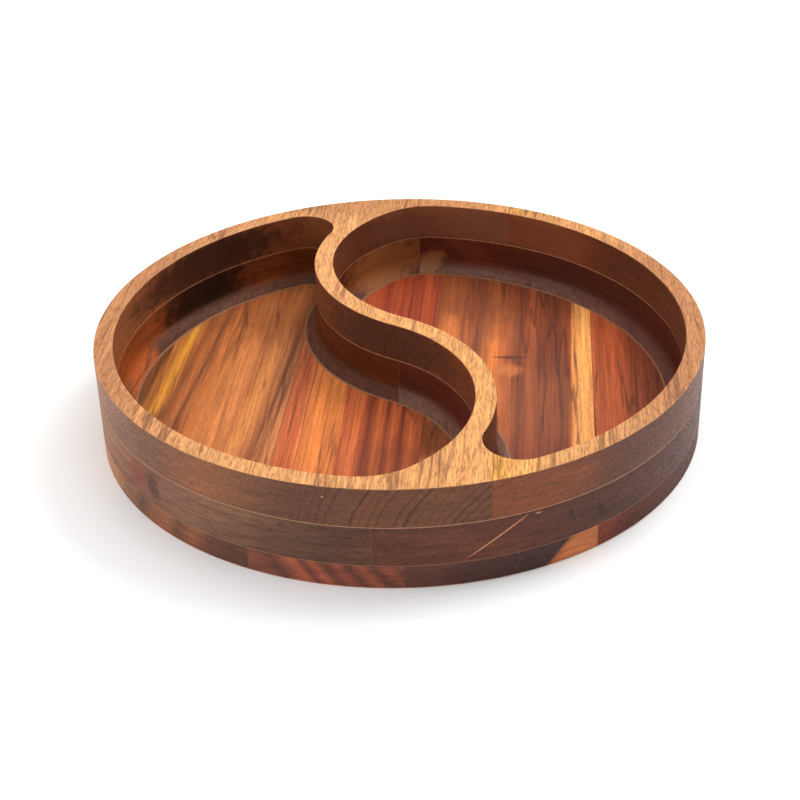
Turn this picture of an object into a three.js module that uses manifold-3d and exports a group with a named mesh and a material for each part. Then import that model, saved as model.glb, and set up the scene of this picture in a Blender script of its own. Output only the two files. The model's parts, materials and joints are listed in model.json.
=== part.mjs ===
// Round chip and dip server: a wooden tray whose S-shaped divider makes two comma-shaped compartments.
// It is glued up from three layers of edge-glued boards. Units are millimetres, +Z is up, the origin is the
// centre of the underside and the grain of every board runs along Y.
import * as THREE from 'three';
import { mergeVertices } from 'three/addons/utils/BufferGeometryUtils.js';
import Module from 'manifold-3d';

// Overall sizes.
const outerRadius = 152.5;
const baseHeight = 12;
const middleHeight = 20;
const topHeight = 20;
const glueThickness = 0.25;

// The rim and the divider. The divider's centre line is two equal arcs that meet at the tray's centre, and each
// arc's full circle would reach past the rim's inner face by curlOvershoot, so the divider runs into the rim.
const rimWidth = 9.5;
const dividerThickness = 10;
const curlOvershoot = 25;
const dividerAngle = 63.7;

// The rounded corners of each compartment, seen from above, and the cove where its wall meets the floor.
const narrowEndRadius = 17;
const wideEndRadius = 35;
const coveRadius = 8.5;

// Where the boards of each layer meet, across the grain. The top layer's joint just clears the divider's bulge.
const baseJoints = [-57, 14, 99];
const middleJoint = 0;
const topJointClearance = 0.1;

// How far a flat facet may cut inside the true curve, and how many facets a cove has from wall to floor.
const facetError = 0.12;
const coveFacets = 5;

const wallRadius = outerRadius - rimWidth;
const curlRadius = (wallRadius + curlOvershoot) / 2;
const halfDivider = dividerThickness / 2;
const centre = new THREE.Vector2(0, 0);
const curlCentre = new THREE.Vector2(curlRadius, 0).rotateAround(centre, THREE.MathUtils.degToRad(dividerAngle));
const dividerBulge = curlRadius - curlCentre.x + halfDivider;
const topJoint = dividerBulge + topJointClearance + glueThickness / 2;

const middleBottom = baseHeight + glueThickness;
const topBottom = middleBottom + middleHeight + glueThickness;
const trayHeight = topBottom + topHeight;

const wasm = await Module();
wasm.setup();

// Makes a closed three.js geometry into a solid that can be joined and cut.
function solid(geometry) {
  geometry.deleteAttribute('normal');
  geometry.deleteAttribute('uv');
  const merged = mergeVertices(geometry);
  return new wasm.Manifold(new wasm.Mesh({
    numProp: 3,
    vertProperties: merged.attributes.position.array,
    triVerts: new Uint32Array(merged.index.array),
  }));
}

// The point where two circles cross, on the left of the way from the first centre to the second.
function circlesCross(centreA, radiusA, centreB, radiusB) {
  const along = centreB.clone().sub(centreA);
  const apart = along.length();
  along.normalize();
  const reach = (radiusA ** 2 - radiusB ** 2 + apart ** 2) / (2 * apart);
  const aside = Math.sqrt(radiusA ** 2 - reach ** 2);
  const left = new THREE.Vector2(-along.y, along.x);
  return centreA.clone().addScaledVector(along, reach).addScaledVector(left, aside);
}

function facetCount(radius, angle) {
  return Math.ceil(angle / (2 * Math.acos(1 - facetError / radius)));
}

// Points along an arc between two directions from its centre. The last point is left to the arc that follows.
function arc(middle, radius, from, to, clockwise = false) {
  const curve = new THREE.EllipseCurve(
    middle.x, middle.y, radius, radius, from.angle(), to.angle(), clockwise);
  return curve.getPoints(facetCount(radius, curve.getLength() / radius)).slice(0, -1);
}

// The compartment in front and on the left, seen from above: the rim's inner face, the wide end, the hollow side
// of the near curl, the outer side of the far curl and the narrow end.
function compartmentOutline() {
  const nearCurl = curlCentre.clone().negate();
  const outerCurlRadius = curlRadius + halfDivider;
  const innerCurlRadius = curlRadius - halfDivider;
  const wideEnd = circlesCross(centre, wallRadius - wideEndRadius, nearCurl, innerCurlRadius - wideEndRadius);
  const narrowEnd = circlesCross(
    centre, wallRadius - narrowEndRadius, curlCentre, outerCurlRadius + narrowEndRadius);
  const wideEndFromCurl = wideEnd.clone().sub(nearCurl);
  const narrowEndFromCurl = narrowEnd.clone().sub(curlCentre);
  const curlFromNarrowEnd = narrowEndFromCurl.clone().negate();
  return new THREE.Shape([
    ...arc(centre, wallRadius, narrowEnd, wideEnd),
    ...arc(wideEnd, wideEndRadius, wideEnd, wideEndFromCurl),
    ...arc(nearCurl, innerCurlRadius, wideEndFromCurl, curlCentre),
    ...arc(curlCentre, outerCurlRadius, nearCurl, narrowEndFromCurl, true),
    ...arc(narrowEnd, narrowEndRadius, curlFromNarrowEnd, narrowEnd),
  ]);
}

// Both compartments as solids to cut away. Each stands on the base, its foot rounded to leave the cove, and
// reaches past the tray's top.
function compartments() {
  const straightHeight = trayHeight - baseHeight - coveRadius + 1;
  const geometry = new THREE.ExtrudeGeometry(compartmentOutline(), {
    depth: straightHeight,
    bevelEnabled: true,
    bevelSize: coveRadius,
    bevelOffset: -coveRadius,
    bevelThickness: coveRadius,
    bevelSegments: coveFacets,
  });
  geometry.translate(0, 0, baseHeight + coveRadius);
  const turned = geometry.clone().rotateZ(Math.PI);
  return solid(geometry).add(solid(turned));
}

const hollows = compartments();
const rimFacets = 4 * facetCount(outerRadius, Math.PI / 2);

// The whole tray between two heights, with the compartments cut out.
function layerSolid(bottom, height) {
  const disc = new THREE.CylinderGeometry(outerRadius, outerRadius, height, rimFacets);
  disc.rotateX(Math.PI / 2).translate(0, 0, height / 2);
  return solid(disc).subtract(hollows.translate(0, 0, -bottom));
}

// Keeps what lies between two planes across the grain and, where they are given, two along it.
function between(whole, left, right, front = -outerRadius - 1, back = outerRadius + 1) {
  const slab = new THREE.BoxGeometry(right - left, back - front, 2 * trayHeight);
  slab.translate((left + right) / 2, (front + back) / 2, 0);
  return whole.intersect(solid(slab));
}

function woodMaterial(colour, roughness) {
  return new THREE.MeshStandardMaterial({ color: colour, roughness, metalness: 0, flatShading: true });
}

const goldenWood = woodMaterial(0xb9743a, 0.5);
const redWood = woodMaterial(0xb2582c, 0.5);
const orangeWood = woodMaterial(0xa3602f, 0.5);
const russetWood = woodMaterial(0x84462a, 0.5);
const greyBrownWood = woodMaterial(0x6a4a38, 0.55);
const darkWood = woodMaterial(0x5d3424, 0.55);
const paleWood = woodMaterial(0xd9a878, 0.6);
const paleGoldenWood = woodMaterial(0xd8a468, 0.6);
const glue = woodMaterial(0xcfae8c, 0.45);

function piece(name, body, material) {
  const mesh = body.getMesh();
  const geometry = new THREE.BufferGeometry();
  geometry.setAttribute('position', new THREE.BufferAttribute(mesh.vertProperties, 3));
  geometry.setIndex(new THREE.BufferAttribute(mesh.triVerts, 1));
  const node = new THREE.Mesh(geometry, material);
  node.name = name;
  return node;
}

function layerAt(bottom, ...pieces) {
  const group = new THREE.Group();
  group.position.z = bottom;
  group.add(...pieces);
  return group;
}

// Four boards side by side, with a glue film in each of the three joints.
function base() {
  const whole = layerSolid(0, baseHeight);
  const half = glueThickness / 2;
  const boards = [
    ['base_board_left', goldenWood],
    ['base_board_centre_left', redWood],
    ['base_board_centre_right', orangeWood],
    ['base_board_right', russetWood],
  ];
  const lefts = [-outerRadius - 1, ...baseJoints.map((joint) => joint + half)];
  const rights = [...baseJoints.map((joint) => joint - half), outerRadius + 1];
  const films = ['base_glue_left', 'base_glue_centre', 'base_glue_right'];
  return layerAt(
    0,
    ...boards.map(([name, wood], i) => piece(name, between(whole, lefts[i], rights[i]), wood)),
    ...films.map((name, i) => piece(name, between(whole, rights[i], lefts[i + 1]), glue)),
  );
}

// Two boards that each carry half of the divider, with glue films in the front wall, the divider and the back wall.
function middleLayer() {
  const whole = layerSolid(middleBottom, middleHeight);
  const left = middleJoint - glueThickness / 2;
  const right = middleJoint + glueThickness / 2;
  return layerAt(
    middleBottom,
    piece('middle_board_left', between(whole, -outerRadius - 1, left), greyBrownWood),
    piece('middle_board_right', between(whole, right, outerRadius + 1), darkWood),
    piece('middle_glue_front', between(whole, left, right, -outerRadius - 1, -curlRadius), glue),
    piece('middle_glue_divider', between(whole, left, right, -curlRadius, curlRadius), glue),
    piece('middle_glue_back', between(whole, left, right, curlRadius, outerRadius + 1), glue),
  );
}

// A large board that carries the whole divider and a smaller one that closes the rim on the right.
function topLayer() {
  const whole = layerSolid(topBottom, topHeight);
  const left = topJoint - glueThickness / 2;
  const right = topJoint + glueThickness / 2;
  return layerAt(
    topBottom,
    piece('top_board_left', between(whole, -outerRadius - 1, left), paleWood),
    piece('top_board_right', between(whole, right, outerRadius + 1), paleGoldenWood),
    piece('top_glue_front', between(whole, left, right, -outerRadius - 1, 0), glue),
    piece('top_glue_back', between(whole, left, right, 0, outerRadius + 1), glue),
  );
}

function glueLayer(name, bottom) {
  return layerAt(bottom, piece(name, layerSolid(bottom, glueThickness), glue));
}

const tray = new THREE.Group();
tray.name = 'chip_and_dip_server';
tray.add(
  base(),
  glueLayer('glue_base_to_middle', baseHeight),
  middleLayer(),
  glueLayer('glue_middle_to_top', topBottom - glueThickness),
  topLayer(),
);

export default tray;
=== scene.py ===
# %% [markdown]
# # Chip and dip server
#
# A round wooden tray with a tall plain rim. An S-shaped divider makes two comma-shaped compartments, one
# for chips and one for dip. A woodworker glues it up from eight boards in three layers: four boards make
# the base, two make the middle layer and two make the top layer. Every board's grain runs from front to
# back, along Y.
#
# This lesson builds each board and each glue film as a mesh of its own, then gives every board the figure
# of its own piece of acacia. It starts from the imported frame, which fixes every size and place. Units are
# metres.

# %% Load the frame
import json
import math

import bmesh
import bpy
from mathutils import Matrix, Vector


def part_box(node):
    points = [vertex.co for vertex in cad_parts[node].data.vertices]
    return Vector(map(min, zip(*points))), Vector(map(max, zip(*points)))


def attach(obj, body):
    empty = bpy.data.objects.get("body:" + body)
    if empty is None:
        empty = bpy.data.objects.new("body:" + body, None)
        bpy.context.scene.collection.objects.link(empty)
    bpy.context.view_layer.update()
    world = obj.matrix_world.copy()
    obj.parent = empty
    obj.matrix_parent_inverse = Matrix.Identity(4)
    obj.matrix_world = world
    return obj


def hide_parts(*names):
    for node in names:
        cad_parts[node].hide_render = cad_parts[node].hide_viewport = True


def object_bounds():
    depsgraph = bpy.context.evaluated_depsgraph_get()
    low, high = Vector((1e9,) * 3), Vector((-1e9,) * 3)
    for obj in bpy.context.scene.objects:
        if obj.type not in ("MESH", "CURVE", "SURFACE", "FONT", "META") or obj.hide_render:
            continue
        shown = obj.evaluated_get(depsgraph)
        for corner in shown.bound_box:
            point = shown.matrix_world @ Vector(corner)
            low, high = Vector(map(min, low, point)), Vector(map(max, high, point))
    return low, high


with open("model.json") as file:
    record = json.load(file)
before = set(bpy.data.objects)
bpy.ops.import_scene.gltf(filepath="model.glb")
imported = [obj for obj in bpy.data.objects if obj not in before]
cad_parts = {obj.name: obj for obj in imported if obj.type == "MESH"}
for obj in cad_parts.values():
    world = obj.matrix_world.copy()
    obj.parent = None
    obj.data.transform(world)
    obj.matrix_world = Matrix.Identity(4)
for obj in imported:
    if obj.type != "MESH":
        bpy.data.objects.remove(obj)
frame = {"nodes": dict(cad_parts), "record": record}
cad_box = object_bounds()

MM = 0.001
cad_sides = [round(side / MM, 2) for side in cad_box[1] - cad_box[0]]
print("frame:", len(frame["nodes"]), "nodes,", cad_sides, "mm")

# %% [markdown]
# ## Camera and light
#
# The tray is seen from above the front, a little from its right, as a product is shown on a table. A long
# lens keeps the round rim close to a true ellipse. The camera could be aimed with a constraint, but plain
# turns about Z, X and the lens axis say the viewing angle outright, and nothing has to be worked out
# later.

# %% Camera
VIEW_TURN = math.radians(5.5)
VIEW_HEIGHT = math.radians(30.65)
VIEW_ROLL = math.radians(-1.5)
VIEW_DISTANCE = 0.8316
VIEW_DROP = 0.01737
LENS = 73.04

low, high = cad_box
tray_centre = (low + high) / 2
aim = (
    Matrix.Rotation(VIEW_TURN, 4, "Z")
    @ Matrix.Rotation(math.pi / 2 - VIEW_HEIGHT, 4, "X")
    @ Matrix.Rotation(VIEW_ROLL, 4, "Z")
)
camera = bpy.data.objects.new("camera", bpy.data.cameras.new("camera"))
camera.data.lens = LENS
camera.data.sensor_width = 36
step_back = Matrix.Translation((0, -VIEW_DROP, VIEW_DISTANCE))
camera.matrix_world = Matrix.Translation(tray_centre) @ aim @ step_back
bpy.context.scene.collection.objects.link(camera)
bpy.context.scene.camera = camera
bpy.context.scene.view_settings.view_transform = "Standard"
print("camera at", [round(value, 3) for value in camera.matrix_world.translation])


# %% [markdown]
# The light is that of a white tent. The key panel stands behind on the right, so it reaches the floors
# over the low rim and leaves the walls that face the front darker. A panel overhead, one in front and a
# pair at the sides fill the shadows. Large panels give soft edges and the broad sheen that oiled wood
# shows.

# %% Lights and floor
def soft_panel(name, place, size, power):
    light = bpy.data.lights.new(name, "AREA")
    light.shape = "RECTANGLE"
    light.size, light.size_y = size
    light.energy = power
    panel = bpy.data.objects.new(name, light)
    panel.location = place
    panel.rotation_euler = (tray_centre - Vector(place)).to_track_quat("-Z", "Y").to_euler()
    bpy.context.scene.collection.objects.link(panel)


soft_panel("key_panel", (0.75, 0.6, 1.05), (0.9, 0.9), 15)
soft_panel("overhead_panel", (0.0, 0.1, 1.5), (1.2, 1.2), 10)
soft_panel("front_panel", (0.2, -1.5, 0.7), (1.4, 0.8), 3.5)
soft_panel("left_panel", (-1.3, -0.4, 0.6), (0.8, 0.8), 9)
soft_panel("right_panel", (1.3, -0.1, 0.7), (0.8, 0.8), 0.8)

ROOM_LIGHT = 0.42
world = bpy.data.worlds.new("white_room")
world.use_nodes = True
background = world.node_tree.nodes["Background"].inputs
background["Color"].default_value = (1.0, 1.0, 1.0, 1.0)
background["Strength"].default_value = ROOM_LIGHT
bpy.context.scene.world = world

FLOOR_REACH = 6
floor_mesh = bmesh.new()
bmesh.ops.create_grid(floor_mesh, x_segments=1, y_segments=1, size=FLOOR_REACH)
floor_data = bpy.data.meshes.new("floor")
floor_mesh.to_mesh(floor_data)
floor_mesh.free()
floor = bpy.data.objects.new("floor", floor_data)
bpy.context.scene.collection.objects.link(floor)
floor_paint = bpy.data.materials.new("pale_floor")
floor_paint.use_nodes = True
paint = floor_paint.node_tree.nodes["Principled BSDF"].inputs
paint["Base Color"].default_value = (0.92, 0.92, 0.92, 1)
paint["Roughness"].default_value = 0.9
paint["Specular IOR Level"].default_value = 0.1
floor_data.materials.append(floor_paint)
print("light panels:", len(bpy.data.lights))

# %% [markdown]
# ## Sizes
#
# Heights and board joints are read from the frame's own boxes, so they can't drift from the packed
# solids. The plan of the compartments isn't written in the frame, so its driving sizes are repeated here:
# the rim, the divider, and the radii of the two rounded ends and of the cove.

# %% Sizes from the frame, and the plan of the compartments
OUTER_RADIUS = (high.x - low.x) / 2
BASE_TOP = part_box("base_board_left")[1].z
MIDDLE_BOTTOM, MIDDLE_TOP = (corner.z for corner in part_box("middle_board_left"))
TOP_BOTTOM, TRAY_TOP = (corner.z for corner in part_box("top_board_left"))

RIM = 9.5 * MM
DIVIDER = 10 * MM
CURL_OVERSHOOT = 25 * MM
DIVIDER_ANGLE = math.radians(63.7)
NARROW_END = 17 * MM
WIDE_END = 35 * MM
COVE = 8.5 * MM

CENTRE = Vector((0, 0))
WALL_RADIUS = OUTER_RADIUS - RIM
CURL_RADIUS = (WALL_RADIUS + CURL_OVERSHOOT) / 2
FAR_CURL = CURL_RADIUS * Vector((math.cos(DIVIDER_ANGLE), math.sin(DIVIDER_ANGLE)))
NEAR_CURL = -FAR_CURL


def circles_cross(centre_a, radius_a, centre_b, radius_b):
    """The point where two circles cross, on the left of the way from the first centre to the second."""
    along = centre_b - centre_a
    reach = (radius_a**2 - radius_b**2 + along.length_squared) / (2 * along.length)
    aside = math.sqrt(radius_a**2 - reach**2)
    along.normalize()
    return centre_a + reach * along + aside * Vector((-along.y, along.x))


OUTER_CURL = CURL_RADIUS + DIVIDER / 2
INNER_CURL = CURL_RADIUS - DIVIDER / 2
wide_end = circles_cross(CENTRE, WALL_RADIUS - WIDE_END, NEAR_CURL, INNER_CURL - WIDE_END)
narrow_end = circles_cross(CENTRE, WALL_RADIUS - NARROW_END, FAR_CURL, OUTER_CURL + NARROW_END)
print("centre of the wide end", [round(value / MM, 1) for value in wide_end], "mm")
print("centre of the narrow end", [round(value / MM, 1) for value in narrow_end], "mm")

# %% [markdown]
# ## Outlines by spinning a point
#
# Every wall of a compartment is an arc: the rim's inner face, the wide end, the two faces of the divider
# and the narrow end. The outline could be drawn as a Bezier curve, but spinning one point about five
# centres in turn gives true arcs, and the same five turns at a different inset give a parallel outline
# with matching points. Parallel outlines at different heights are then bridged into walls, coves and
# eased edges.

# %% A compartment's outline
SMOOTHNESS = 0.006 * MM
RIM_STEPS = 320


def turn_between(start, end, clockwise=False):
    sweep = (math.atan2(end.y, end.x) - math.atan2(start.y, start.x)) % (2 * math.pi)
    return sweep - 2 * math.pi if clockwise else sweep


def arc(centre, radius, growth, start, end, clockwise=False):
    """One arc of the outline: growth is how its radius changes for each metre that the outline is inset."""
    sweep = turn_between(start, end, clockwise)
    steps = math.ceil(abs(sweep) / (2 * math.acos(1 - SMOOTHNESS / radius)))
    return centre, radius, growth, math.atan2(start.y, start.x), sweep, steps


OUTLINE_ARCS = [
    arc(CENTRE, WALL_RADIUS, -1, narrow_end, wide_end),
    arc(wide_end, WIDE_END, -1, wide_end, wide_end - NEAR_CURL),
    arc(NEAR_CURL, INNER_CURL, -1, wide_end - NEAR_CURL, FAR_CURL),
    arc(FAR_CURL, OUTER_CURL, 1, NEAR_CURL, narrow_end - FAR_CURL, clockwise=True),
    arc(narrow_end, NARROW_END, -1, FAR_CURL - narrow_end, narrow_end),
]
print("points in an outline:", sum(steps for *_, steps in OUTLINE_ARCS))


def add_loop(bm, loop):
    """Adds a small mesh of one closed loop to a larger mesh, and gives back its edges there."""
    known = len(bm.edges)
    mesh = bpy.data.meshes.new("loop")
    loop.to_mesh(mesh)
    loop.free()
    bm.from_mesh(mesh)
    bpy.data.meshes.remove(mesh)
    bm.edges.ensure_lookup_table()
    return bm.edges[known:]


def hollow_loop(bm, inset, height, half_turn=False):
    """The outline of one compartment, inset from its wall, as a closed loop of edges at a height."""
    loop = bmesh.new()
    start = point = None
    for centre, radius, growth, angle, sweep, steps in OUTLINE_ARCS:
        if start is None:
            reach = radius + growth * inset
            place = (centre.x + reach * math.cos(angle), centre.y + reach * math.sin(angle), height)
            start = point = loop.verts.new(place)
        spun = bmesh.ops.spin(
            loop, geom=[point], cent=(centre.x, centre.y, height), axis=(0, 0, 1), angle=sweep, steps=steps)
        point = spun["geom_last"][0]
    bmesh.ops.weld_verts(loop, targetmap={point: start})
    if half_turn:
        bmesh.ops.rotate(loop, verts=loop.verts[:], cent=(0, 0, 0), matrix=Matrix.Rotation(math.pi, 3, "Z"))
    return add_loop(bm, loop)


def rim_loop(bm, inset, height):
    """A circle round the tray, inset from its outer face, as a closed loop of edges at a height."""
    loop = bmesh.new()
    lift = Matrix.Translation((0, 0, height))
    bmesh.ops.create_circle(
        loop, cap_ends=False, segments=RIM_STEPS, radius=OUTER_RADIUS - inset, matrix=lift)
    return add_loop(bm, loop)


# %% [markdown]
# ## Walls, layers and boards
#
# A profile is a list of (inset, height) pairs read from bottom to top. An eased edge is a quarter circle
# with one extra loop on each side, so that smooth shading stays on the rounding and the flat faces stay
# flat. A layer is the space between the rim's wall and the two compartments' walls, closed by a flat face
# above and below. Sawing it at the joints gives the boards, with the films of glue between them.

# %% Profiles
HOLD = 0.3 * MM
CORNER = math.radians(40)
COVE_STEPS = 12


def eased_edge(ease, top, outward):
    """The rounded upper end of a profile. outward is -1 where easing opens a compartment, 1 on the rim."""
    turns = [math.radians(angle) for angle in (0, 22.5, 45, 67.5, 90)]
    rounding = [(outward * ease * (1 - math.cos(a)), top - ease * (1 - math.sin(a))) for a in turns]
    return [(0, top - ease - HOLD), *rounding, (outward * (ease + HOLD), top)]


def cove_profile(bottom, top):
    """A compartment's lower wall: a quarter-round cove that runs out on the floor, then straight up."""
    foot = math.acos(1 - (bottom - BASE_TOP) / COVE)
    angles = [foot + (math.pi / 2 - foot) * step / COVE_STEPS for step in range(COVE_STEPS + 1)]
    cove = [(COVE * (1 - math.sin(a)), BASE_TOP + COVE * (1 - math.cos(a))) for a in angles]
    return [*cove, (0, cove[-1][1] + HOLD), (0, top)]


print("steps in the cove:", COVE_STEPS)

# %% [markdown]
# A wall is made by bridging neighbouring loops. A lathe or a Screw modifier could make the round rim, but
# not the S-shaped divider, and bridging does both. Corners between a wall and a flat face are marked
# sharp.

# %% Layers
def wall(bm, profile, loop, **options):
    """Bridges a loop at every (inset, height) of a profile, and gives back the lowest and highest loops."""
    loops = [loop(bm, inset, height, **options) for inset, height in profile]
    for lower, upper in zip(loops, loops[1:]):
        bmesh.ops.bridge_loops(bm, edges=lower + upper)
    return loops[0], loops[-1]


def layer(outer_profile, hollow_profile=()):
    bm = bmesh.new()
    walls = [wall(bm, outer_profile, rim_loop)]
    if hollow_profile:
        walls += [wall(bm, hollow_profile, hollow_loop, half_turn=half_turn) for half_turn in (False, True)]
    for end in (0, 1):
        rims = [edge for ends in walls for edge in ends[end]]
        bmesh.ops.triangle_fill(bm, use_beauty=True, use_dissolve=False, edges=rims)
    bmesh.ops.recalc_face_normals(bm, faces=bm.faces[:])
    for edge in bm.edges:
        edge.smooth = edge.calc_face_angle(0) < CORNER
    return bm


# %% [markdown]
# The real boards are glued first and cut to shape afterwards, so their ends are exactly in line. Sawing
# one finished layer at its joints does the same. A boolean could cut it too, but a plane cut is quicker
# and leaves no slivers.

# %% Sawing a layer at its joints
def saw(bm, side, keep_above, axis=0):
    """Cuts a board off square at a plane across an axis, and closes the sawn ends with flat faces."""
    point, normal = Vector(), Vector()
    point[axis], normal[axis] = side, 1
    cut = bmesh.ops.bisect_plane(
        bm, geom=bm.verts[:] + bm.edges[:] + bm.faces[:], dist=1e-7, plane_co=point, plane_no=normal,
        clear_inner=keep_above, clear_outer=not keep_above)
    rims = [part for part in cut["geom_cut"] if isinstance(part, bmesh.types.BMEdge)]
    ends = bmesh.ops.holes_fill(bm, edges=rims, sides=0)["faces"]
    for face in ends:
        face.smooth = False
        for edge in face.edges:
            edge.smooth = False


def sawn_piece(node, whole):
    """The share of a layer that a CAD node holds, as a finished piece that stands for that node."""
    bm = whole.copy()
    for face in bm.faces:
        face.smooth = True
    node_low, node_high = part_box(node)
    if node_low.x > low.x + HOLD:
        saw(bm, node_low.x, keep_above=True)
    if node_high.x < high.x - HOLD:
        saw(bm, node_high.x, keep_above=False)
    if node_low.y > low.y + RIM and node_high.x - node_low.x < MM:
        saw(bm, node_low.y - RIM / 2, keep_above=True, axis=1)
    if node_high.y < high.y - RIM and node_high.x - node_low.x < MM:
        saw(bm, node_high.y + RIM / 2, keep_above=False, axis=1)
    mesh = bpy.data.meshes.new(node + "_wood")
    bm.to_mesh(mesh)
    bm.free()
    piece = bpy.data.objects.new(node + "_looks", mesh)
    bpy.context.scene.collection.objects.link(piece)
    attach(piece, "root")
    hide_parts(node)
    return piece


SLOTS = {part["node"]: part["material_slot"] for part in frame["record"]["subparts"]}
pieces = {}


def saw_up(whole, *nodes):
    for node in nodes:
        pieces[node] = sawn_piece(node, whole)
        print(node, len(pieces[node].data.polygons), "faces")
    whole.free()


# %% [markdown]
# ## Base
#
# The base is a plain disc of four boards, 12 mm thick, with its lower edge eased by sandpaper. A cylinder
# with a bevel could stand for it, but the sawn layer gives each board its own sound, closed mesh.

# %% Base: four boards and three glue joints
BOTTOM_EASE = 0.8 * MM
bottom_edge = [
    (inset, BASE_TOP - height) for inset, height in reversed(eased_edge(BOTTOM_EASE, BASE_TOP, 1))]
base = layer([*bottom_edge, (0, BASE_TOP)])
saw_up(
    base, "base_board_left", "base_board_centre_left", "base_board_centre_right", "base_board_right",
    "base_glue_left", "base_glue_centre", "base_glue_right")

# %% [markdown]
# ## Middle layer
#
# Two boards carry the lower half of the walls. A cove, cut with a round-nosed bit, leads the wall into
# the floor and runs out on the base, which is why the profile starts inset by almost the whole cove.

# %% Middle layer: two boards and the glue at the front, in the divider and at the back
middle = layer([(0, MIDDLE_BOTTOM), (0, MIDDLE_TOP)], cove_profile(MIDDLE_BOTTOM, MIDDLE_TOP))
saw_up(
    middle, "middle_board_left", "middle_board_right", "middle_glue_front", "middle_glue_divider",
    "middle_glue_back")

# %% [markdown]
# ## Top layer
#
# Two pale boards make the rim and the top of the divider. Their edges are rounded by half a millimetre:
# enough to catch the light as a fine line, as a hand-sanded edge does.

# %% Top layer: two boards and the glue at the front and at the back
RIM_EASE = 0.5 * MM
top = layer(
    [(0, TOP_BOTTOM), *eased_edge(RIM_EASE, TRAY_TOP, 1)],
    [(0, TOP_BOTTOM), *eased_edge(RIM_EASE, TRAY_TOP, -1)])
saw_up(top, "top_board_left", "top_board_right", "top_glue_front", "top_glue_back")

# %% [markdown]
# ## Glue films
#
# Glue squeezed between two layers sets as a film. It could be left out and only painted on the boards,
# but as a piece of its own it closes the gap. It stops just short of the walls, and swells to a thin lip
# under the cove.

# %% The two glue films between layers
GLUE_INSET = 0.04 * MM
LIP_FOOT = COVE - MM
LIP_CREST = COVE - 1.6 * MM
toe = cove_profile(MIDDLE_BOTTOM, MIDDLE_TOP)[0]
lower_film = layer(
    [(GLUE_INSET, BASE_TOP), (GLUE_INSET, MIDDLE_BOTTOM)],
    [(LIP_FOOT, BASE_TOP), (LIP_CREST, (BASE_TOP + MIDDLE_BOTTOM) / 2), toe])
saw_up(lower_film, "glue_base_to_middle")
upper_film = layer(
    [(GLUE_INSET, MIDDLE_TOP), (GLUE_INSET, TOP_BOTTOM)],
    [(-GLUE_INSET, MIDDLE_TOP), (-GLUE_INSET, TOP_BOTTOM)])
saw_up(upper_film, "glue_middle_to_top")

# %% [markdown]
# ## Wood
#
# Acacia is a striped wood: golden, orange and dark red heartwood with near-black veins, and a pale rim of
# sapwood. One noise texture could colour all the boards alike, but each real board comes from a different
# part of a log. So each board gets its own colour ramps across its width, and shared node groups bend the
# stripes, draw the growth rings, lay the fibres and their painted glints, place single marks such as a
# knot or a painted shade, soak the seams and rub the edges. All of them read Object coordinates, so a
# pattern runs through a board and shows on its face, its wall and its underside alike.

# %% Helpers for shader nodes
def add_node(tree, kind, inputs=(), **settings):
    node = tree.nodes.new(kind)
    for name, value in settings.items():
        setattr(node, name, value)
    for name, value in dict(inputs).items():
        if isinstance(value, bpy.types.NodeSocket):
            tree.links.new(value, node.inputs[name])
        else:
            node.inputs[name].default_value = value
    return node


def calc(tree, operation, *values):
    return add_node(tree, "ShaderNodeMath", enumerate(values), operation=operation).outputs[0]


def stretch(tree, point, scale):
    """Scales the coordinates on each axis: the larger the number, the finer the pattern along that axis."""
    inputs = {0: point, 1: scale}
    return add_node(tree, "ShaderNodeVectorMath", inputs, operation="MULTIPLY").outputs[0]


def noise(tree, point, scale, seed, detail=2.0):
    inputs = {"Vector": stretch(tree, point, scale), "W": seed, "Scale": 1.0, "Detail": detail}
    return add_node(tree, "ShaderNodeTexNoise", inputs, noise_dimensions="4D").outputs["Fac"]


def fade(tree, value, start, end):
    """0 at the start, 1 at the end, and smooth in between."""
    inputs = {"Value": value, "From Min": start, "From Max": end}
    return add_node(tree, "ShaderNodeMapRange", inputs, interpolation_type="SMOOTHSTEP").outputs["Result"]


def blend(tree, mask, below, above, mode="MIX"):
    inputs = {"Factor": mask, 6: below, 7: above}
    return add_node(tree, "ShaderNodeMix", inputs, data_type="RGBA", blend_type=mode).outputs[2]


def new_group(name, inputs, outputs):
    group = bpy.data.node_groups.new(name, "ShaderNodeTree")
    for socket, value in inputs.items():
        kind = "NodeSocketFloat" if isinstance(value, float) else "NodeSocketVector"
        group.interface.new_socket(socket, in_out="INPUT", socket_type=kind).default_value = value
    for socket in outputs:
        group.interface.new_socket(socket, in_out="OUTPUT", socket_type="NodeSocketFloat")
    return group, group.nodes.new("NodeGroupInput").outputs, group.nodes.new("NodeGroupOutput").inputs


def place_group(tree, group, **inputs):
    """Places a shared group in a material and sets its inputs, whose names are given in small letters."""
    node = add_node(tree, "ShaderNodeGroup", node_tree=group)
    for name, value in inputs.items():
        socket = node.inputs[name.replace("_", " ").capitalize()]
        if isinstance(value, bpy.types.NodeSocket):
            tree.links.new(value, socket)
        else:
            socket.default_value = value
    return node.outputs


def linear(red, green, blue):
    """A colour as seen on a screen, 0 to 255, as the light it stands for."""
    shares = (channel / 255 for channel in (red, green, blue))
    return (*(share / 12.92 if share < 0.04 else ((share + 0.055) / 1.055) ** 2.4 for share in shares), 1)


print("mid grey as light:", round(linear(128, 128, 128)[0], 3))

# %% [markdown]
# ### Stripes
#
# A board's stripes follow its grain: they wander a little along Y, lean across it, and slant through the
# thickness. The group turns a point into its place across the board, and a colour ramp can then paint any
# set of stripes.

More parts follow.
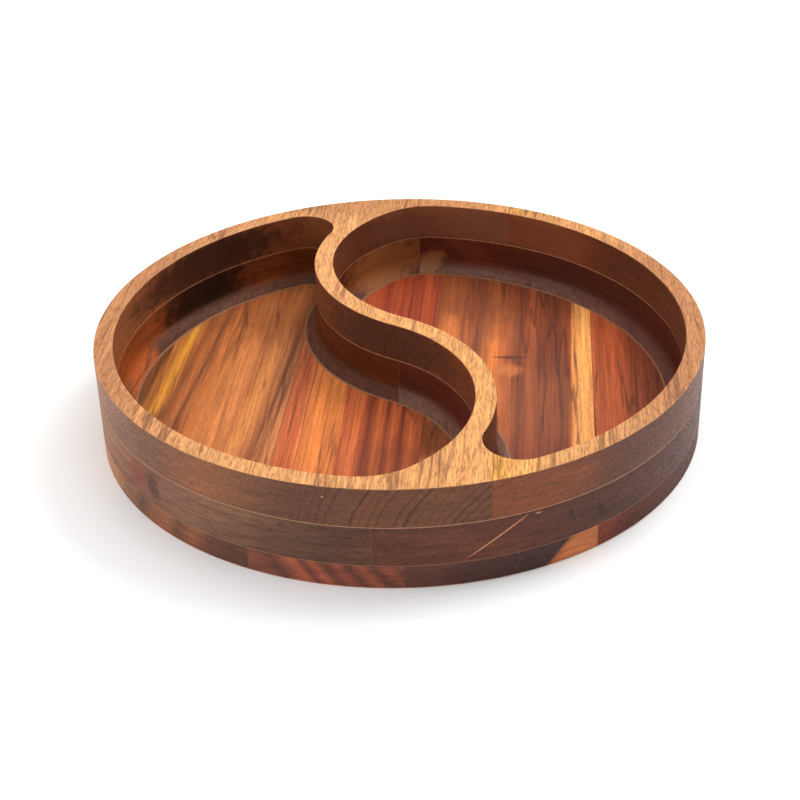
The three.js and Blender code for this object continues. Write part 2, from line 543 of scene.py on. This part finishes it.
# %% Stripes: the place of a point across its board, bent as the grain bends
stripes, given, result = new_group(
    "board_stripes",
    {"Point": (0, 0, 0), "Low": 0.0, "High": 0.1, "Level": 0.0, "Lean": 0.0, "Slant": 0.0, "Wander": 0.002,
     "Seed": 0.0},
    ["Place"])
point = given["Point"]
axes = add_node(stripes, "ShaderNodeSeparateXYZ", {"Vector": point}).outputs
slow_bend = noise(stripes, point, (18, 9, 18), given["Seed"], 1.0)
quick_bend = noise(stripes, point, (130, 34, 130), given["Seed"], 2.0)
bend = calc(stripes, "ADD", calc(stripes, "MULTIPLY", quick_bend, 0.5), slow_bend)
bend = calc(stripes, "MULTIPLY", calc(stripes, "SUBTRACT", bend, 0.75), given["Wander"])
lean = calc(stripes, "MULTIPLY", axes["Y"], given["Lean"])
slant = calc(stripes, "MULTIPLY", calc(stripes, "SUBTRACT", axes["Z"], given["Level"]), given["Slant"])
across = calc(stripes, "SUBTRACT", calc(stripes, "SUBTRACT", axes["X"], lean), slant)
across = calc(stripes, "SUBTRACT", calc(stripes, "ADD", across, bend), given["Low"])
width = calc(stripes, "SUBTRACT", given["High"], given["Low"])
stripes.links.new(calc(stripes, "DIVIDE", across, width), result["Place"])
print("board_stripes:", len(stripes.nodes), "nodes")

# %% [markdown]
# ### Growth rings
#
# Each year leaves a dark line round the heart of the log. A Wave texture draws rings too, but it can't be
# given a centre in millimetres, so the distance from the heart is worked out with Math nodes.

# %% Growth rings: dark lines at nearly even steps from the heart of the log
rings, given, result = new_group(
    "growth_rings",
    {"Point": (0, 0, 0), "Heart x": 0.0, "Heart z": 0.0, "Spacing": 0.005, "Seed": 0.0},
    ["Line"])
point = given["Point"]
axes = add_node(rings, "ShaderNodeSeparateXYZ", {"Vector": point}).outputs
aside = calc(rings, "SUBTRACT", axes["X"], given["Heart x"])
above = calc(rings, "SUBTRACT", axes["Z"], given["Heart z"])
squares = calc(rings, "ADD", calc(rings, "POWER", aside, 2.0), calc(rings, "POWER", above, 2.0))
radius = calc(rings, "SQRT", squares)
ripple = calc(rings, "MULTIPLY", noise(rings, point, (45, 6, 45), given["Seed"], 2.0), 1.1)
count = calc(rings, "ADD", calc(rings, "DIVIDE", radius, given["Spacing"]), ripple)
phase = calc(rings, "FRACT", count)
LINE_START, LINE_PEAK = 0.5, 0.95
before_peak = fade(rings, phase, LINE_START, LINE_PEAK)
line = calc(rings, "MULTIPLY", before_peak, fade(rings, phase, 1.0, LINE_PEAK))
# Each ring has a whole number, so a noise read at that number makes a whole ring strong or faint.
year = add_node(rings, "ShaderNodeCombineXYZ", {"X": calc(rings, "FLOOR", count)}).outputs[0]
strength = fade(rings, noise(rings, year, (0.77, 1, 1), given["Seed"], 1.0), 0.25, 0.75)
LAST_RING, LAST_CLEAR_RING = 135 * MM, 100 * MM
strength = calc(rings, "MULTIPLY", strength, fade(rings, radius, LAST_RING, LAST_CLEAR_RING))
rings.links.new(calc(rings, "MULTIPLY", line, strength), result["Line"])
print("growth_rings:", len(rings.nodes), "nodes")

# %% [markdown]
# ### Fibres
#
# Wood is far longer than it is wide at every scale, so each noise is stretched along Y by a different
# amount: soft streaks a few millimetres wide, strands under a millimetre, and pores a few millimetres
# long.

# %% Fibres: streaks, thin dark veins and short dark pores, all along Y
fibres, given, result = new_group(
    "acacia_fibres", {"Point": (0, 0, 0), "Seed": 0.0},
    ["Tone", "Wall tone", "Veins", "Pores", "Glint specks", "Sheen", "Height"])
point = given["Point"]
streaks = noise(fibres, point, (310, 8, 310), given["Seed"], 4.0)
strands = noise(fibres, point, (950, 26, 950), given["Seed"], 3.0)
clouds = noise(fibres, point, (26, 12, 26), given["Seed"], 2.0)
strokes = noise(fibres, point, (1900, 200, 1900), given["Seed"], 2.0)
CLOUD_DEPTH = 0.25
DARKEST_TONE = 0.05
TONE_CONTRAST = 1.35


def layered_tone(broad, fine, broad_depth, fine_depth):
    """Makes a factor that darkens or lightens a colour, from a broad and a fine noise and the clouds."""
    tone = 1.0
    for pattern, depth in ((broad, broad_depth), (fine, fine_depth), (clouds, CLOUD_DEPTH)):
        tone = calc(fibres, "MULTIPLY_ADD", calc(fibres, "SUBTRACT", pattern, 0.5), depth, tone)
    return calc(fibres, "POWER", calc(fibres, "MAXIMUM", tone, DARKEST_TONE), TONE_CONTRAST)


# A wall is cut across the growth layers, so its streaks are wide, thin in height and nearly level.
wall_streaks = noise(fibres, point, (38, 9, 420), given["Seed"], 4.0)
wall_strands = noise(fibres, point, (150, 30, 1500), given["Seed"], 3.0)
contour = noise(fibres, point, (84, 4.5, 84), given["Seed"], 3.0)
distance = calc(fibres, "ABSOLUTE", calc(fibres, "SUBTRACT", contour, 0.5))
broken = fade(fibres, noise(fibres, point, (40, 14, 40), given["Seed"], 1.0), 0.36, 0.58)
fibres.links.new(layered_tone(streaks, strands, 0.65, 1.15), result["Tone"])
fibres.links.new(layered_tone(wall_streaks, wall_strands, 0.8, 0.9), result["Wall tone"])
vein = fade(fibres, distance, 0.022, 0.002)
fibres.links.new(calc(fibres, "MULTIPLY", vein, broken), result["Veins"])
fibres.links.new(fade(fibres, strokes, 0.45, 0.62), result["Pores"])
# Pale specks: painted glints of light on the cut fibres, used on the walls only.
fibres.links.new(fade(fibres, strokes, 0.41, 0.29), result["Glint specks"])
fibres.links.new(clouds, result["Sheen"])
fibres.links.new(calc(fibres, "SUBTRACT", strands, strokes), result["Height"])
print("acacia_fibres:", len(fibres.nodes), "nodes")

# %% [markdown]
# ### Marks
#
# Some features belong at one place, such as a knot, and so do painted shade and painted light in the
# compartments. A mask could be painted as an image, but the distance from a centre, divided by how far
# the mark reaches on each axis, gives a blob or a thin streak at any angle.

# %% Marks: a knot, a streak, painted shade or painted light at one place, with a ragged edge
mark, given, result = new_group(
    "placed_mark",
    {"Point": (0, 0, 0), "Centre": (0, 0, 0), "Reach": (0.01, 0.01, 0.01), "Softness": 0.6, "Ragged": 0.8,
     "Turn": 0.0},
    ["Mask"])
from_centre = {0: given["Point"], 1: given["Centre"]}
offset = add_node(mark, "ShaderNodeVectorMath", from_centre, operation="SUBTRACT")
turning = {"Vector": offset.outputs[0], "Angle": given["Turn"]}
turned = add_node(mark, "ShaderNodeVectorRotate", turning, rotation_type="Y_AXIS")
scaled = add_node(
    mark, "ShaderNodeVectorMath", {0: turned.outputs[0], 1: given["Reach"]}, operation="DIVIDE").outputs[0]
reach = add_node(mark, "ShaderNodeVectorMath", {0: scaled}, operation="LENGTH").outputs["Value"]
rough = calc(mark, "SUBTRACT", noise(mark, given["Point"], (260, 70, 260), 3.0, 2.0), 0.5)
reach = calc(mark, "MULTIPLY_ADD", rough, given["Ragged"], reach)
inner = calc(mark, "SUBTRACT", 1.0, given["Softness"])
mark.links.new(calc(mark, "SUBTRACT", 1.0, fade(mark, reach, inner, 1.0)), result["Mask"])
print("placed_mark:", len(mark.nodes), "nodes")

# %% [markdown]
# ### Seams and edges
#
# Wet glue soaks into the wood beside a seam and stays paler. Hands and cloths rub the eased edges, which
# grow lighter and duller in patches. Both masks need only the height of a point and the way its face
# points.

# %% Seams and edges: glue that has soaked into the wood beside a film, and rubbed edges
bleed, given, result = new_group("glue_bleed", {"Point": (0, 0, 0)}, ["Mask"])
height = add_node(bleed, "ShaderNodeSeparateXYZ", {"Vector": given["Point"]}).outputs["Z"]
ragged = calc(bleed, "MULTIPLY", noise(bleed, given["Point"], (220, 220, 220), 5.0, 2.0), 0.7 * MM)
LOW_SEAM = (BASE_TOP + MIDDLE_BOTTOM) / 2
HIGH_SEAM = (MIDDLE_TOP + TOP_BOTTOM) / 2
mask = 0.0
for seam, strength in ((LOW_SEAM, 0.12), (HIGH_SEAM, 0.5)):
    off_seam = calc(bleed, "ABSOLUTE", calc(bleed, "SUBTRACT", height, seam))
    near = fade(bleed, off_seam, ragged, 0.1 * MM)
    mask = calc(bleed, "MULTIPLY_ADD", near, strength, mask)
bleed.links.new(mask, result["Mask"])

wear, given, result = new_group(
    "edge_wear", {"Point": (0, 0, 0), "Facing up": 0.0, "Edge height": 0.05}, ["Mask"])
height = add_node(wear, "ShaderNodeSeparateXYZ", {"Vector": given["Point"]}).outputs["Z"]
off_edge = calc(wear, "ABSOLUTE", calc(wear, "SUBTRACT", height, given["Edge height"]))
off_wall = fade(wear, given["Facing up"], 0.02, 0.4)
rounding = calc(wear, "MULTIPLY", off_wall, fade(wear, given["Facing up"], 1.0, 0.8))
rubbed = fade(wear, noise(wear, given["Point"], (160, 160, 160), 9.0, 3.0), 0.3, 0.65)
near_edge = fade(wear, off_edge, 1.2 * MM, 0.8 * MM)
mask = calc(wear, "MULTIPLY", calc(wear, "MULTIPLY", rounding, near_edge), rubbed)
wear.links.new(mask, result["Mask"])
print("shared groups:", [group.name for group in bpy.data.node_groups])

# %% [markdown]
# ## A board's finish
#
# The boards are sanded and oiled. Flat faces are pale and golden. The round walls cut across the grain,
# and open grain drinks more oil, so the walls are darker and redder. One ramp tinted by a single factor
# could stand for both, but pale sapwood keeps its colour on a wall while red heartwood goes nearly black,
# so a board has one ramp for its faces and one for its walls. The surface normal picks between them. The
# walls in the compartments are tinted darker and redder still, and marked lighter and darker in places:
# this is painted shade and painted light.

# %% Colours that every board shares
RING_COLOUR = linear(44, 22, 15)
VEIN_COLOUR = linear(74, 38, 26)
FACE_PORE_COLOUR = linear(112, 58, 32)
WALL_PORE_COLOUR = linear(46, 24, 16)
# The pale speck colour is a painted glint on the cut walls.
GLINT_SPECK_COLOUR = linear(196, 150, 116)
SOAKED_COLOUR = linear(206, 160, 120)
RUBBED_COLOUR = linear(226, 170, 120)
GLINT_SPECK_SHARE = 0.16
RUBBED_SHARE = 0.35
RING_SHARE = 0.2
RING_SHARE_ON_CUTS = 0.4
WALL_VEIN_LOSS = 0.8
WALL_PORE_LOSS = 0.5
SHEEN_SPREAD = 0.22
print("darkest pore as light:", [round(share, 4) for share in WALL_PORE_COLOUR[:3]])

# %% Colour ramps and the board material
def ramp(tree, place, low, high, stops, tint):
    def tinted(colour):
        return (*(share * factor for share, factor in zip(linear(*colour), tint)), 1)

    node = add_node(tree, "ShaderNodeValToRGB", {"Fac": place})
    elements = node.color_ramp.elements
    elements.remove(elements[1])
    elements[0].position = (stops[0][0] - low) / (high - low)
    elements[0].color = tinted(stops[0][1])
    for x, colour in stops[1:]:
        elements.new((x - low) / (high - low)).color = tinted(colour)
    return node.outputs["Color"]


def add_marks(tree, point, colour, marks):
    """Lays marks over a colour, each given as centre, reach, turn, strength and tint."""
    for centre, reach, turn, strength, tint in marks:
        mask = place_group(
            tree, mark, point=point, centre=Vector(centre) * MM, reach=Vector(reach) * MM,
            turn=math.radians(turn))["Mask"]
        colour = blend(tree, calc(tree, "MULTIPLY", mask, strength), colour, linear(*tint))
    return colour


def acacia(node, seed, faces, walls, level, lean=0.0, slant=0.0, wander=0.003, hollow_shade=(1, 1, 1),
           heart=None, marks=(), hollow_light_and_shade=(), contrast=1.0, pore_depth=0.3, vein_depth=0.62,
           edge=TRAY_TOP, roughness=0.42, gloss=0.28, face_tint=(1, 1, 1), wall_tint=(1, 1, 1)):
    """Oiled acacia for one board.

    faces and walls list (x in mm, colour) across the board, at the height called level. The tint for the
    compartments' walls is painted shade, darker and redder. marks lie on the whole board, some of them
    painted shade and painted light, and the marks for the compartments' walls paint light and shade
    there only. heart is the x and z of the heart of the log and the step between rings, all in mm, and
    how dark the rings are.
    """
    material = bpy.data.materials.new(node + "_acacia")
    material.use_nodes = True
    tree = material.node_tree
    point = add_node(tree, "ShaderNodeTexCoord").outputs["Object"]
    axes = add_node(tree, "ShaderNodeSeparateXYZ", {"Vector": point}).outputs
    normal = add_node(tree, "ShaderNodeNewGeometry").outputs["Normal"]
    facing = add_node(tree, "ShaderNodeSeparateXYZ", {"Vector": normal}).outputs
    facing_up = calc(tree, "ABSOLUTE", facing["Z"])
    upright = calc(tree, "SUBTRACT", 1.0, fade(tree, facing_up, 0.25, 0.9))
    squares = calc(tree, "ADD", calc(tree, "POWER", axes["X"], 2.0), calc(tree, "POWER", axes["Y"], 2.0))
    inside_rim = fade(tree, calc(tree, "SQRT", squares), WALL_RADIUS + MM, WALL_RADIUS + 0.3 * MM)
    within = calc(tree, "MULTIPLY", upright, inside_rim)
    outside = calc(tree, "SUBTRACT", upright, within)
    low = min(faces[0][0], walls[0][0]) - 0.01
    high = max(faces[-1][0], walls[-1][0]) + 0.01
    place = place_group(
        tree, stripes, point=point, low=low * MM, high=high * MM, level=level, lean=lean, slant=slant,
        wander=wander, seed=seed)["Place"]
    colour = blend(
        tree, upright, ramp(tree, place, low, high, faces, face_tint),
        ramp(tree, place, low, high, walls, wall_tint))
    grain = place_group(tree, fibres, point=point, seed=seed)
    tones = {"Factor": upright, 2: grain["Tone"], 3: grain["Wall tone"]}
    tone = add_node(tree, "ShaderNodeMix", tones).outputs[0]
    colour = blend(tree, contrast, colour, tone, "MULTIPLY")
    if heart:
        heart_x, heart_z, spacing, strength = heart
        line = place_group(
            tree, rings, point=point, heart_x=heart_x * MM, heart_z=heart_z * MM, spacing=spacing * MM,
            seed=seed)["Line"]
        cut_across = calc(tree, "ADD", upright, outside)
        darker = calc(tree, "MULTIPLY_ADD", cut_across, RING_SHARE_ON_CUTS * strength, RING_SHARE * strength)
        colour = blend(tree, calc(tree, "MULTIPLY", line, darker), colour, RING_COLOUR)
    colour = add_marks(tree, point, colour, marks)
    vein_share = calc(tree, "MULTIPLY_ADD", upright, -WALL_VEIN_LOSS * vein_depth, vein_depth)
    colour = blend(tree, calc(tree, "MULTIPLY", grain["Veins"], vein_share), colour, VEIN_COLOUR)
    pore_colour = blend(tree, upright, FACE_PORE_COLOUR, WALL_PORE_COLOUR)
    pore_share = calc(tree, "MULTIPLY_ADD", upright, -WALL_PORE_LOSS * pore_depth, pore_depth)
    colour = blend(tree, calc(tree, "MULTIPLY", grain["Pores"], pore_share), colour, pore_colour)
    # Painted glints: pale specks on the walls.
    glint_specks = calc(tree, "MULTIPLY", grain["Glint specks"], calc(tree, "MULTIPLY", upright, GLINT_SPECK_SHARE))
    colour = blend(tree, glint_specks, colour, GLINT_SPECK_COLOUR)
    # Painted shade: the compartments' walls are tinted darker and redder, and their own marks paint light
    # and shade on them.
    painted_shade_colour = add_marks(tree, point, blend(tree, 1.0, colour, (*hollow_shade, 1), "MULTIPLY"), hollow_light_and_shade)
    colour = blend(tree, within, colour, painted_shade_colour)
    soaked = calc(tree, "MULTIPLY", place_group(tree, bleed, point=point)["Mask"], upright)
    colour = blend(tree, soaked, colour, SOAKED_COLOUR)
    rubbed = place_group(tree, wear, point=point, facing_up=facing_up, edge_height=edge)["Mask"]
    colour = blend(tree, calc(tree, "MULTIPLY", rubbed, RUBBED_SHARE), colour, RUBBED_COLOUR)
    shine = calc(tree, "MULTIPLY_ADD", grain["Sheen"], SHEEN_SPREAD, roughness - SHEEN_SPREAD / 2)
    shine = calc(tree, "MULTIPLY_ADD", rubbed, 0.1, shine)
    shine = calc(tree, "MULTIPLY_ADD", grain["Pores"], 0.25, shine)
    bumps = {"Height": grain["Height"], "Distance": 0.06 * MM, "Strength": 0.8}
    relief = add_node(tree, "ShaderNodeBump", bumps).outputs["Normal"]
    surface = tree.nodes["Principled BSDF"]
    surface.inputs["Specular IOR Level"].default_value = gloss
    tree.links.new(colour, surface.inputs["Base Color"])
    tree.links.new(shine, surface.inputs["Roughness"])
    tree.links.new(relief, surface.inputs["Normal"])
    pieces[node].data.materials.append(material)
    print(material.name, len(tree.nodes), "nodes")


# %% [markdown]
# ## Base boards
#
# The base shows its faces on the compartments' floors. From left to right it has a golden board with a
# yellow stripe and dark veins, a red and orange one, a dark orange one that ends in pale sapwood, and a
# russet one. The growth layers pass through at a slant, so the same stripes come out further along on the
# outer wall.

# %% Golden, red, orange and russet boards
acacia(
    "base_board_left", 1.3,
    [(-152, (150, 88, 42)), (-138, (150, 90, 45)), (-131.5, (110, 66, 38)), (-129, (176, 112, 50)),
     (-126.5, (166, 102, 50)), (-124.5, (192, 128, 52)), (-122, (212, 148, 54)),
     (-119.5, (176, 108, 50)), (-116, (142, 80, 44)), (-112, (176, 104, 58)), (-109.6, (172, 100, 58)),
     (-108.4, (116, 66, 42)), (-106.8, (166, 98, 56)), (-102, (190, 112, 60)), (-92, (204, 126, 72)),
     (-84, (206, 128, 78)), (-79, (188, 114, 68)), (-74, (227, 149, 86)), (-69, (208, 131, 82)),
     (-65.5, (176, 108, 68)), (-63, (132, 78, 52)), (-61, (176, 110, 72)), (-59, (146, 90, 62)),
     (-57, (196, 124, 80))],
    [(-152, (165, 112, 66)), (-132, (158, 104, 62)), (-124, (150, 92, 52)), (-118, (120, 76, 48)),
     (-112, (118, 72, 44)), (-106, (84, 52, 34)), (-100, (118, 68, 42)), (-90, (128, 74, 46)),
     (-84, (92, 54, 34)), (-76, (122, 68, 42)), (-68, (96, 54, 36)), (-60, (82, 48, 32))],
    BASE_TOP, lean=0.06, slant=0.3, wander=0.004, pore_depth=0.24, edge=0.0,
    face_tint=(1.0, 0.92, 0.74), wall_tint=(1.22, 1.25, 1.2),
    # Painted shade: the floor darkens towards the back wall.
    marks=[((-72, 96, 12), (60, 66, 9), 0, 0.55, (122, 60, 26))])
acacia(
    "base_board_centre_left", 2.1,
    [(-57, (206, 122, 80)), (-50, (200, 112, 76)), (-47, (222, 138, 86)), (-45, (238, 154, 91)),
     (-28.5, (236, 152, 90)), (-26.8, (196, 110, 74)), (-20, (214, 126, 80)), (-17, (196, 108, 72)),
     (-14.5, (140, 72, 54)), (-12.5, (150, 80, 58)), (-9, (224, 130, 80)), (-6.5, (206, 116, 74)),
     (-5, (140, 70, 52)), (-2, (208, 118, 76)), (1, (186, 100, 68)), (3, (140, 72, 52)),
     (6, (196, 110, 70)), (9, (206, 118, 73)), (14, (180, 92, 58))],
    [(-57, (118, 62, 44)), (-51, (90, 46, 36)), (-46, (124, 62, 44)), (-40, (158, 78, 50)),
     (-36, (98, 48, 36)), (-31, (146, 70, 46)), (-26, (88, 44, 34)), (-20, (134, 64, 44)),
     (-15, (86, 42, 34)), (-9, (144, 68, 46)), (-4, (88, 44, 34)), (2, (134, 64, 44)),
     (7, (94, 46, 36)), (12, (128, 60, 44)), (20, (96, 48, 38))],
    BASE_TOP, lean=-0.02, slant=-0.8, wander=0.003, pore_depth=0.24, edge=0.0,
    face_tint=(0.84, 0.63, 0.43), wall_tint=(1.15, 1.26, 1.26),
    marks=[((-5, 95, 12), (34, 80, 9), 0, 0.65, (152, 54, 30)),
           ((-2, 90, 12), (1.1, 70, 9), 0, 0.8, (104, 44, 34)),
           ((-11, 90, 12), (0.9, 60, 9), 0, 0.6, (120, 52, 38)),
           ((4, 96, 12), (0.8, 62, 9), 0, 0.7, (110, 44, 32)),
           ((12.4, 92, 12), (0.9, 66, 9), 0, 0.6, (104, 44, 32)),
           ((2, -76, 12), (22, 40, 9), 0, 0.4, (96, 42, 26))])
acacia(
    "base_board_centre_right", 3.7,
    [(14, (172, 96, 62)), (19, (204, 125, 74)), (25, (204, 125, 76)), (29, (156, 92, 60)),
     (34, (166, 98, 66)), (38, (122, 72, 50)), (42, (180, 108, 70)), (47, (222, 136, 74)),
     (52, (187, 108, 68)), (57, (164, 96, 64)), (61, (108, 60, 44)), (66, (156, 86, 58)),
     (72, (131, 71, 50)), (80, (122, 64, 45)), (85.5, (130, 70, 48)), (87.5, (160, 92, 54)),
     (88.3, (236, 162, 100)), (93, (255, 192, 122)), (99, (250, 178, 108)), (110, (226, 148, 78))],
    [(2, (84, 49, 38)), (20, (80, 46, 36)), (30, (84, 48, 37)), (44, (66, 36, 30)), (60, (62, 33, 28)),
     (76, (54, 30, 26)), (86, (52, 30, 26)), (88.5, (158, 92, 52)), (93, (176, 104, 60)),
     (104, (168, 100, 58))],
    BASE_TOP, lean=0.0, slant=0.92, wander=0.004, pore_depth=0.24, edge=0.0, face_tint=(1.0, 0.82, 0.6),
    wall_tint=(1.25, 1.15, 1.1),
    # The first two marks are painted shade on the floor towards the back wall, the third a painted
    # reflection on its front part.
    marks=[((34, 112, 12), (46, 50, 9), 0, 0.7, (112, 52, 28)),
           ((47, 78, 12), (20, 32, 8), 0, 0.45, (120, 62, 36)),
           ((76, -12, 12), (30, 46, 8), 0, 0.18, (186, 112, 72)),
           ((23, -44, 12), (16, 36, 9), 0, 0.7, (84, 40, 26)),
           ((56, 23, 12), (9, 9, 8), 0, 0.7, (206, 120, 66)),
           ((56, 37, 12), (13, 2.4, 8), 0, 0.85, (92, 50, 36))])
acacia(
    "base_board_right", 4.4,
    [(99, (166, 88, 52)), (103, (150, 75, 47)), (108, (158, 79, 48)), (115, (160, 78, 49)),
     (120, (124, 62, 42)), (128, (108, 54, 38)), (152, (100, 50, 36))],
    [(90, (128, 66, 44)), (104, (122, 62, 42)), (110, (104, 54, 40)), (118, (84, 44, 34)),
     (128, (86, 46, 36)), (140, (78, 44, 36)), (152, (84, 48, 40))],
    BASE_TOP, lean=0.0, slant=0.4, wander=0.004, pore_depth=0.24, edge=0.0, gloss=0.18,
    face_tint=(1.35, 1.2, 1.0), wall_tint=(0.95, 0.68, 0.6))

# %% [markdown]
# ## Middle boards
#
# Only the round walls and the cove of the middle layer show. The left board is a grey brown with a reddish
# patch and a dark grey one. In its compartment its wood is orange and golden, brightened by painted light
# in places, and painted shade turns the back of the left compartment nearly black. The right board is a
# dark red brown, crossed by one thin pale streak.

# %% Grey-brown and dark boards
acacia(
    "middle_board_left", 5.2,
    [(-152, (168, 86, 30)), (-141, (150, 80, 32)), (-134, (74, 40, 23)), (-116, (78, 46, 30)),
     (-88, (108, 70, 52)), (-40, (88, 54, 40)), (0, (84, 50, 38))],
    [(-152, (132, 84, 50)), (-132, (124, 80, 56)), (-118, (114, 70, 50)), (-108, (104, 62, 46)),
     (-90, (102, 64, 47)), (-76, (106, 68, 49)), (-62, (98, 62, 44)), (-47, (88, 55, 40)),
     (-32, (80, 50, 36)), (-16, (74, 46, 34)), (0, (78, 46, 33))],
    MIDDLE_TOP, slant=0.5, wander=0.012, hollow_shade=(0.78, 0.38, 0.15), heart=(-40, -60, 6, 0.2), gloss=0.1,
    roughness=0.5, pore_depth=0.3, wall_tint=(1.55, 1.9, 2.2),
    # The first mark is orange wood brightened with painted light on the left compartment's cove.
    marks=[((-136, 10, 14), (14, 32, 7), 0, 0.8, (190, 92, 36)),
           ((-114, -100, 23), (9, 14, 9), 0, 0.55, (132, 70, 52)),
           ((-105, -110, 23), (6, 12, 10), 0, 0.6, (70, 50, 40)),
           ((-16, 122, 15), (32, 24, 9), 0, 0.8, (156, 98, 54))],
    # Painted shade turns the back of the left compartment nearly black; painted light brightens its orange
    # wall on the left and the golden back wall of the right compartment.
    hollow_light_and_shade=[((-119, 80, 24), (40, 50, 30), 0, 0.92, (26, 13, 9)),
                  ((-136, 6, 17), (18, 34, 10), 0, 0.5, (170, 86, 36)),
                  ((-16, 124, 20), (42, 46, 22), 0, 0.75, (150, 92, 50))])
acacia(
    "middle_board_right", 6.6,
    [(0, (112, 78, 64)), (60, (110, 72, 60)), (110, (98, 58, 48)), (152, (90, 52, 42))],
    [(0, (80, 44, 32)), (32, (86, 46, 33)), (47, (84, 45, 33)), (62, (77, 42, 31)), (90, (70, 40, 31)),
     (123, (72, 39, 31)), (152, (76, 44, 36))],
    MIDDLE_TOP, slant=-0.4, wander=0.01, hollow_shade=(0.76, 0.42, 0.28), heart=(60, 70, 7, 0.18), gloss=0.2,
    pore_depth=0.3, wall_tint=(1.4, 1.4, 1.4),
    marks=[((54, -140, 22.2), (20, 40, 0.42), 33.5, 1.0, (224, 150, 112)),
           ((72, -134, 30.5), (1.6, 6, 0.6), 0, 0.8, (190, 140, 112)),
           ((87, -125, 24), (1.2, 12, 6), 20, 0.6, (44, 26, 22)),
           ((100, -115, 20), (1.4, 12, 6), 15, 0.6, (44, 26, 22)),
           ((4, 139, 14), (12, 10, 5), 0, 0.8, (150, 98, 60))],
    # Painted light and shade on the back wall of the right compartment.
    hollow_light_and_shade=[((6, 141, 17), (13, 16, 8), 35, 0.85, (150, 96, 58)),
                  ((28, 136, 26), (22, 20, 9), -35, 0.5, (110, 48, 26))])

# %% [markdown]
# ## Top boards
#
# The top layer shows its pale, open-pored face on the rim and the divider. Its growth rings lean on the
# front of the outer wall, because the heart of the log lies low and to the right of the joint.

# %% Pale boards
acacia(
    "top_board_left", 7.5,
    [(-152, (186, 126, 86)), (-130, (184, 124, 84)), (-112, (206, 142, 96)), (-74, (214, 150, 98)),
     (-42, (224, 158, 104)), (0, (226, 158, 99)), (38, (224, 156, 98)), (52, (222, 156, 96))],
    [(-152, (128, 84, 58)), (-132, (122, 78, 54)), (-118, (106, 68, 47)), (-100, (102, 63, 43)),
     (-76, (122, 74, 48)), (-62, (112, 68, 44)), (-47, (98, 60, 42)), (-32, (90, 52, 37)),
     (-16, (90, 54, 38)), (0, (98, 57, 37)), (16, (98, 58, 37)), (32, (102, 60, 40)),
     (52, (98, 58, 38))],
    TRAY_TOP, slant=0.1, wander=0.006, hollow_shade=(0.98, 0.8, 0.62), heart=(83, 0, 3.6, 1.0), contrast=0.75,
    pore_depth=0.52, face_tint=(1.0, 1.02, 0.93), wall_tint=(1.3, 1.28, 1.12),
    marks=[((-20.5, -151, 47), (0.8, 4, 0.6), 20, 0.7, (210, 160, 120)),
           ((-10, 148, 52.5), (84, 40, 6), 0, 0.5, (156, 100, 62))],
    # Painted shade darkens the back of the left compartment and the divider, and painted light brightens the
    # back wall of the right compartment.
    hollow_light_and_shade=[((-105, 70, 42), (62, 95, 18), 0, 0.85, (44, 18, 9)),
                  ((30, 134, 42), (90, 30, 18), 0, 0.5, (128, 80, 58)),
                  ((2, 4, 42), (60, 76, 18), 0, 0.6, (50, 27, 20))])
acacia(
    "top_board_right", 8.2,
    [(52, (238, 170, 70)), (58, (230, 164, 90)), (74, (218, 156, 98)), (110, (210, 146, 96)),
     (130, (180, 120, 80)), (152, (188, 128, 86))],
    [(52, (112, 66, 42)), (76, (112, 64, 42)), (92, (110, 64, 44)), (102, (92, 56, 42)),
     (113, (84, 54, 42)), (130, (88, 58, 46)), (152, (96, 66, 52))],
    TRAY_TOP, slant=0.1, wander=0.006, hollow_shade=(0.86, 0.64, 0.48), heart=(90, -40, 5.5, 0.2),
    contrast=0.75, pore_depth=0.52, gloss=0.22, face_tint=(1.0, 1.02, 0.93),
    wall_tint=(1.4, 1.22, 1.05),
    marks=[((62, 136, 52.5), (60, 40, 6), 0, 0.4, (156, 100, 62))],
    # Painted light on the back wall of the right compartment.
    hollow_light_and_shade=[((72, 122, 42), (44, 40, 18), 0, 0.45, (122, 70, 46))])

# %% [markdown]
# ## Glue
#
# The cured glue is a hair-thin film. Between the layers it shows as a pale line round the tray. In the
# upright joints it has taken up wood dust and is as dark as the board beside it, so height sets which of
# the two it is.

# %% Cured glue
glue = bpy.data.materials.new("cured_glue")
glue.use_nodes = True
tree = glue.node_tree
point = add_node(tree, "ShaderNodeTexCoord").outputs["Object"]
height = add_node(tree, "ShaderNodeSeparateXYZ", {"Vector": point}).outputs["Z"]
FILM_HALF = 0.124 * MM
low_seam = calc(tree, "COMPARE", height, LOW_SEAM, FILM_HALF)
high_seam = calc(tree, "COMPARE", height, HIGH_SEAM, FILM_HALF)
dust = noise(tree, point, (420, 420, 420), 2.0, 3.0)
layer_glue = blend(tree, dust, linear(136, 90, 58), linear(200, 152, 108))
joint_glue = blend(tree, dust, linear(70, 36, 24), linear(124, 68, 42))
seams = calc(tree, "MULTIPLY_ADD", low_seam, 0.4, high_seam)
surface = tree.nodes["Principled BSDF"]
tree.links.new(blend(tree, seams, joint_glue, layer_glue), surface.inputs["Base Color"])
tree.links.new(calc(tree, "MULTIPLY_ADD", dust, 0.3, 0.3), surface.inputs["Roughness"])
relief = add_node(tree, "ShaderNodeBump", {"Height": dust, "Distance": 0.03 * MM}).outputs["Normal"]
tree.links.new(relief, surface.inputs["Normal"])
for node, piece in pieces.items():
    if SLOTS[node] == "wood_glue":
        piece.data.materials.append(glue)
print("materials:", len(bpy.data.materials))
